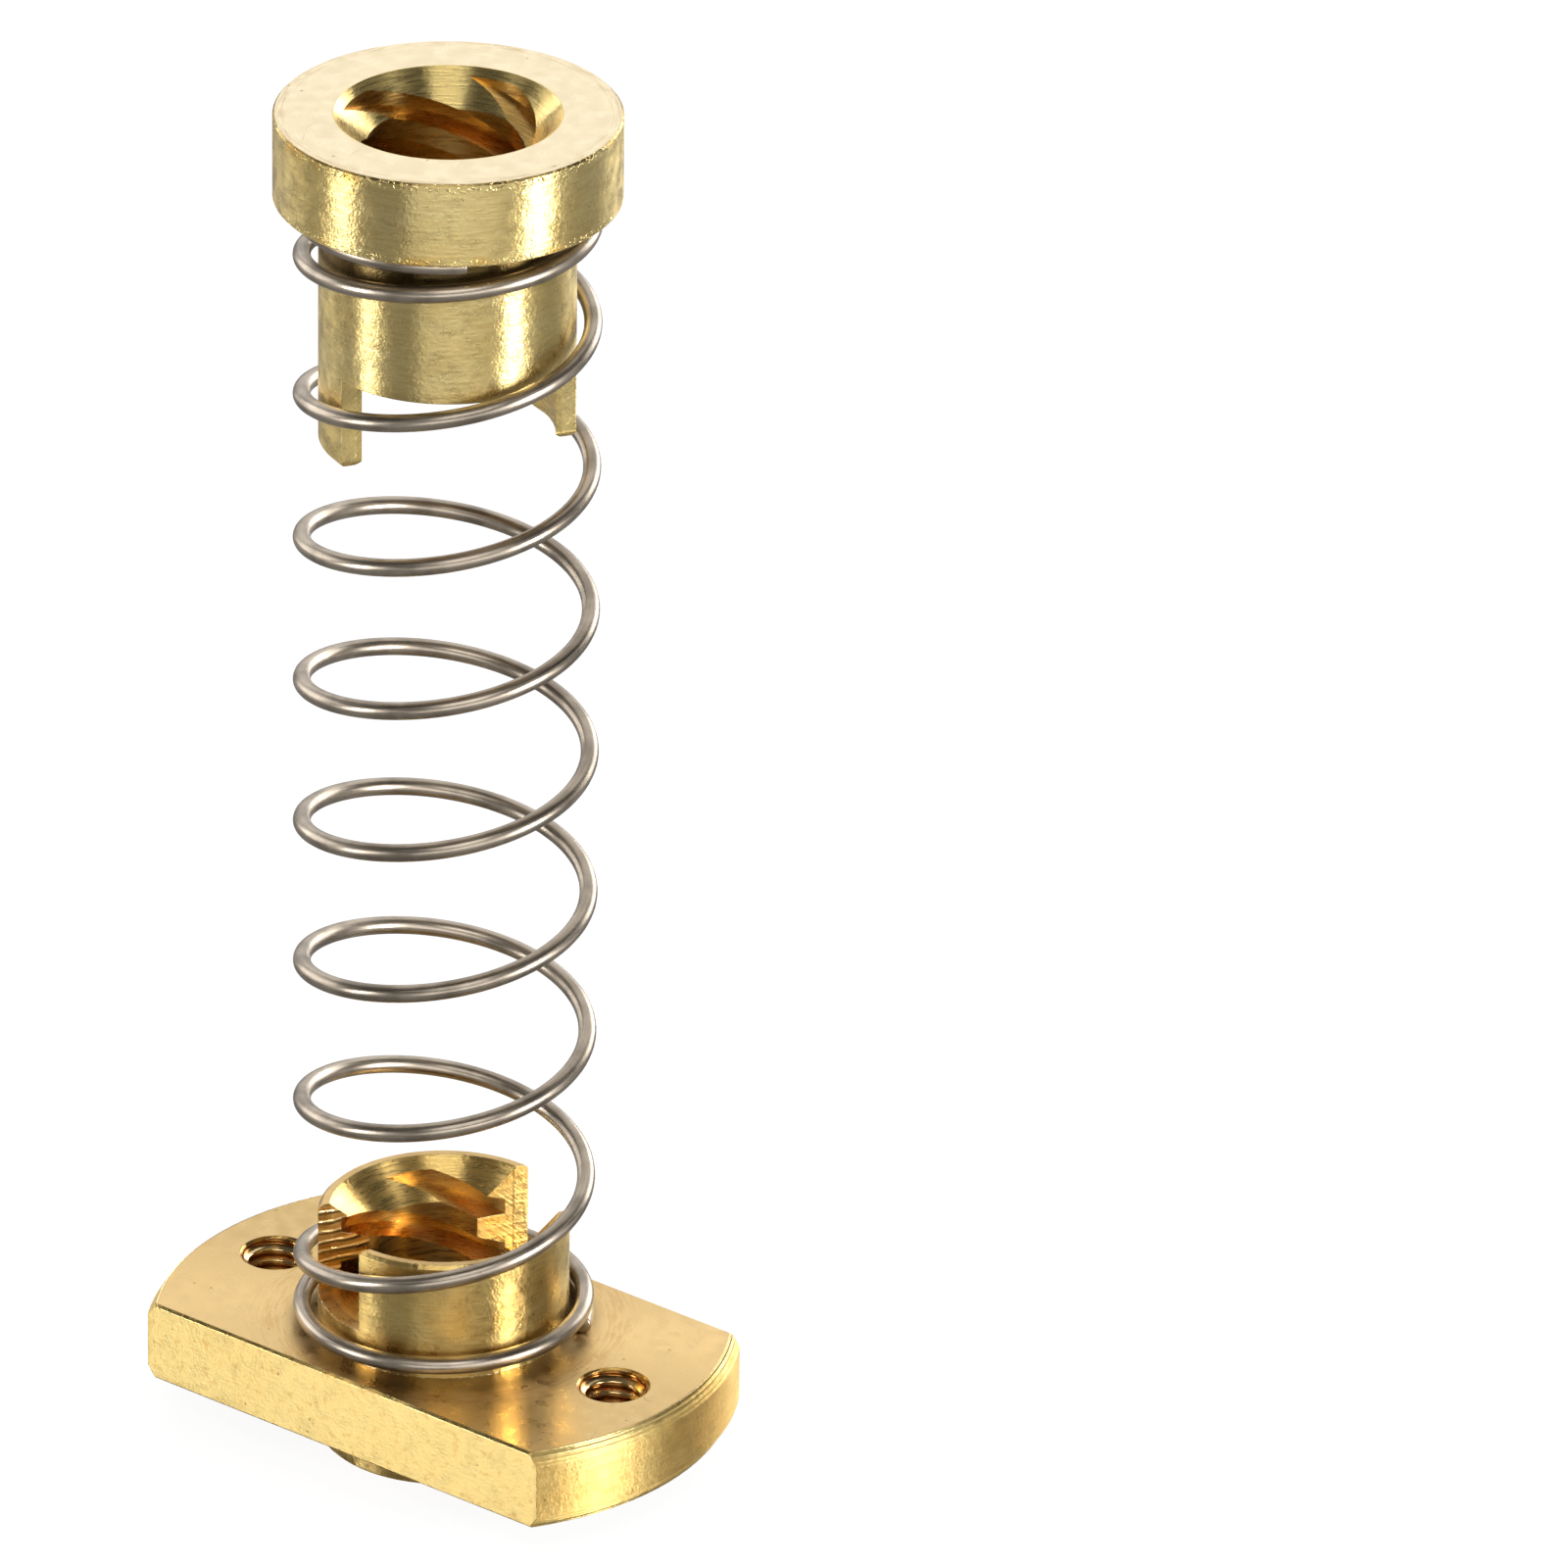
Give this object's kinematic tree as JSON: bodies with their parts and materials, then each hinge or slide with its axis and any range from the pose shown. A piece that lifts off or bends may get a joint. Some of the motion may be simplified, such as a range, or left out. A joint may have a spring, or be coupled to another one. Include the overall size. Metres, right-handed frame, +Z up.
{
  "type": "spring-loaded lead screw nut",
  "caption": "Anti-backlash lead screw nut: a flanged brass nut and a collared brass nut with prongs, pushed apart by a coil spring.",
  "frame": {"origin": "on the screw's axis, at the underside of the locating spigot", "axes": "+Z up the screw's axis, from the flange nut to the collar nut; +X along the line through the two fixing holes; +Y across the plate's flats"},
  "size_m": [0.0242, 0.0138, 0.0586],
  "materials": {
    "flange_brass": "turned and milled, fine machining marks",
    "collar_brass": "turned, satin",
    "spring_wire": "drawn wire, bright"
  },
  "bodies": {
    "flange": {"flange_nut": "flange_brass", "spring": "spring_wire"},
    "collar": {"collar_nut": "collar_brass"}
  },
  "joints": [
    {"name": "collar_slide", "type": "slide", "parent": "flange", "child": "collar", "axis": [0, 0, -1], "range_m": [0, 0.03805], "stiffness_N_per_m": 215, "springref_m": -0.00026, "deforming": ["spring"]}
  ]
}
